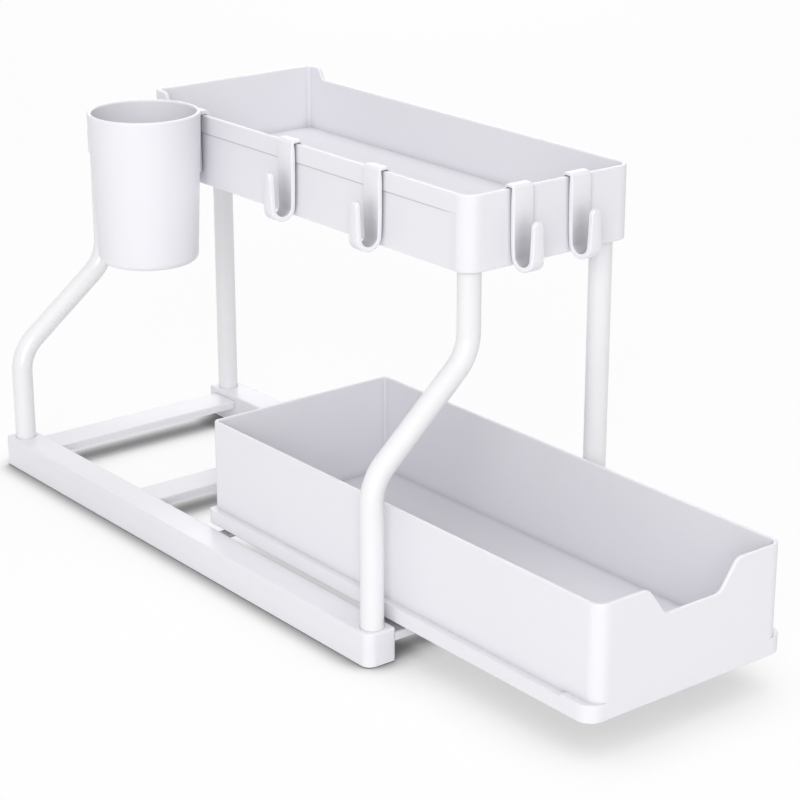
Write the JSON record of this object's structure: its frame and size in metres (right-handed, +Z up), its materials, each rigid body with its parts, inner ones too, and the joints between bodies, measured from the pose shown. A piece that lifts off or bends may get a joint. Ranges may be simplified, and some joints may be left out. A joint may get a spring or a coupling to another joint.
{
  "type": "under sink organizer",
  "caption": "Two-tier white under sink organizer: narrow top tray on bent tube posts, pull-out drawer on a low frame, hanging cup and clip-on hooks.",
  "frame": {"origin": "on the floor, under the middle of the whole part as it stands with its drawer open by 155 mm; in line with the middle of the base frame from side to side", "axes": "+X right, +Y to the back, +Z up; the drawer opens towards -Y and the bent posts are on the -X side"},
  "size_m": [0.1938, 0.555, 0.2649],
  "materials": {
    "white_plastic": "satin",
    "coated_steel": "satin",
    "glide_plastic": "satin",
    "soft_pad": "matte"
  },
  "bodies": {
    "base": {"left_rail": "white_plastic", "right_rail": "white_plastic", "foot_pads": "soft_pad", "rear_crossbar": "white_plastic", "mid_crossbar": "white_plastic", "front_crossbar": "white_plastic", "rear_left_post": "coated_steel", "front_left_post": "coated_steel", "rear_right_post": "coated_steel", "front_right_post": "coated_steel", "left_upper_rail": "coated_steel", "right_upper_rail": "coated_steel", "top_tray": "white_plastic"},
    "drawer": {"drawer": "white_plastic", "left_glide": "glide_plastic", "right_glide": "glide_plastic"},
    "cup": {"hanging_cup": "white_plastic"},
    "left_rear_hook_body": {"left_rear_hook": "white_plastic"},
    "left_front_hook_body": {"left_front_hook": "white_plastic"},
    "front_left_hook_body": {"front_left_hook": "white_plastic"},
    "front_right_hook_body": {"front_right_hook": "white_plastic"}
  },
  "joints": [
    {"name": "drawer_slide", "type": "slide", "parent": "base", "child": "drawer", "axis": [0, -1, 0], "range_m": [-0.155, 0.012]},
    {"name": "cup_lift", "type": "slide", "parent": "base", "child": "cup", "axis": [0, 0, 1], "range_m": [0, 0.03]},
    {"name": "left_rear_hook_lift", "type": "slide", "parent": "base", "child": "left_rear_hook_body", "axis": [0, 0, 1], "range_m": [0, 0.025]},
    {"name": "left_front_hook_lift", "type": "slide", "parent": "base", "child": "left_front_hook_body", "axis": [0, 0, 1], "range_m": [0, 0.025]},
    {"name": "front_left_hook_lift", "type": "slide", "parent": "base", "child": "front_left_hook_body", "axis": [0, 0, 1], "range_m": [0, 0.025]},
    {"name": "front_right_hook_lift", "type": "slide", "parent": "base", "child": "front_right_hook_body", "axis": [0, 0, 1], "range_m": [0, 0.025]}
  ]
}
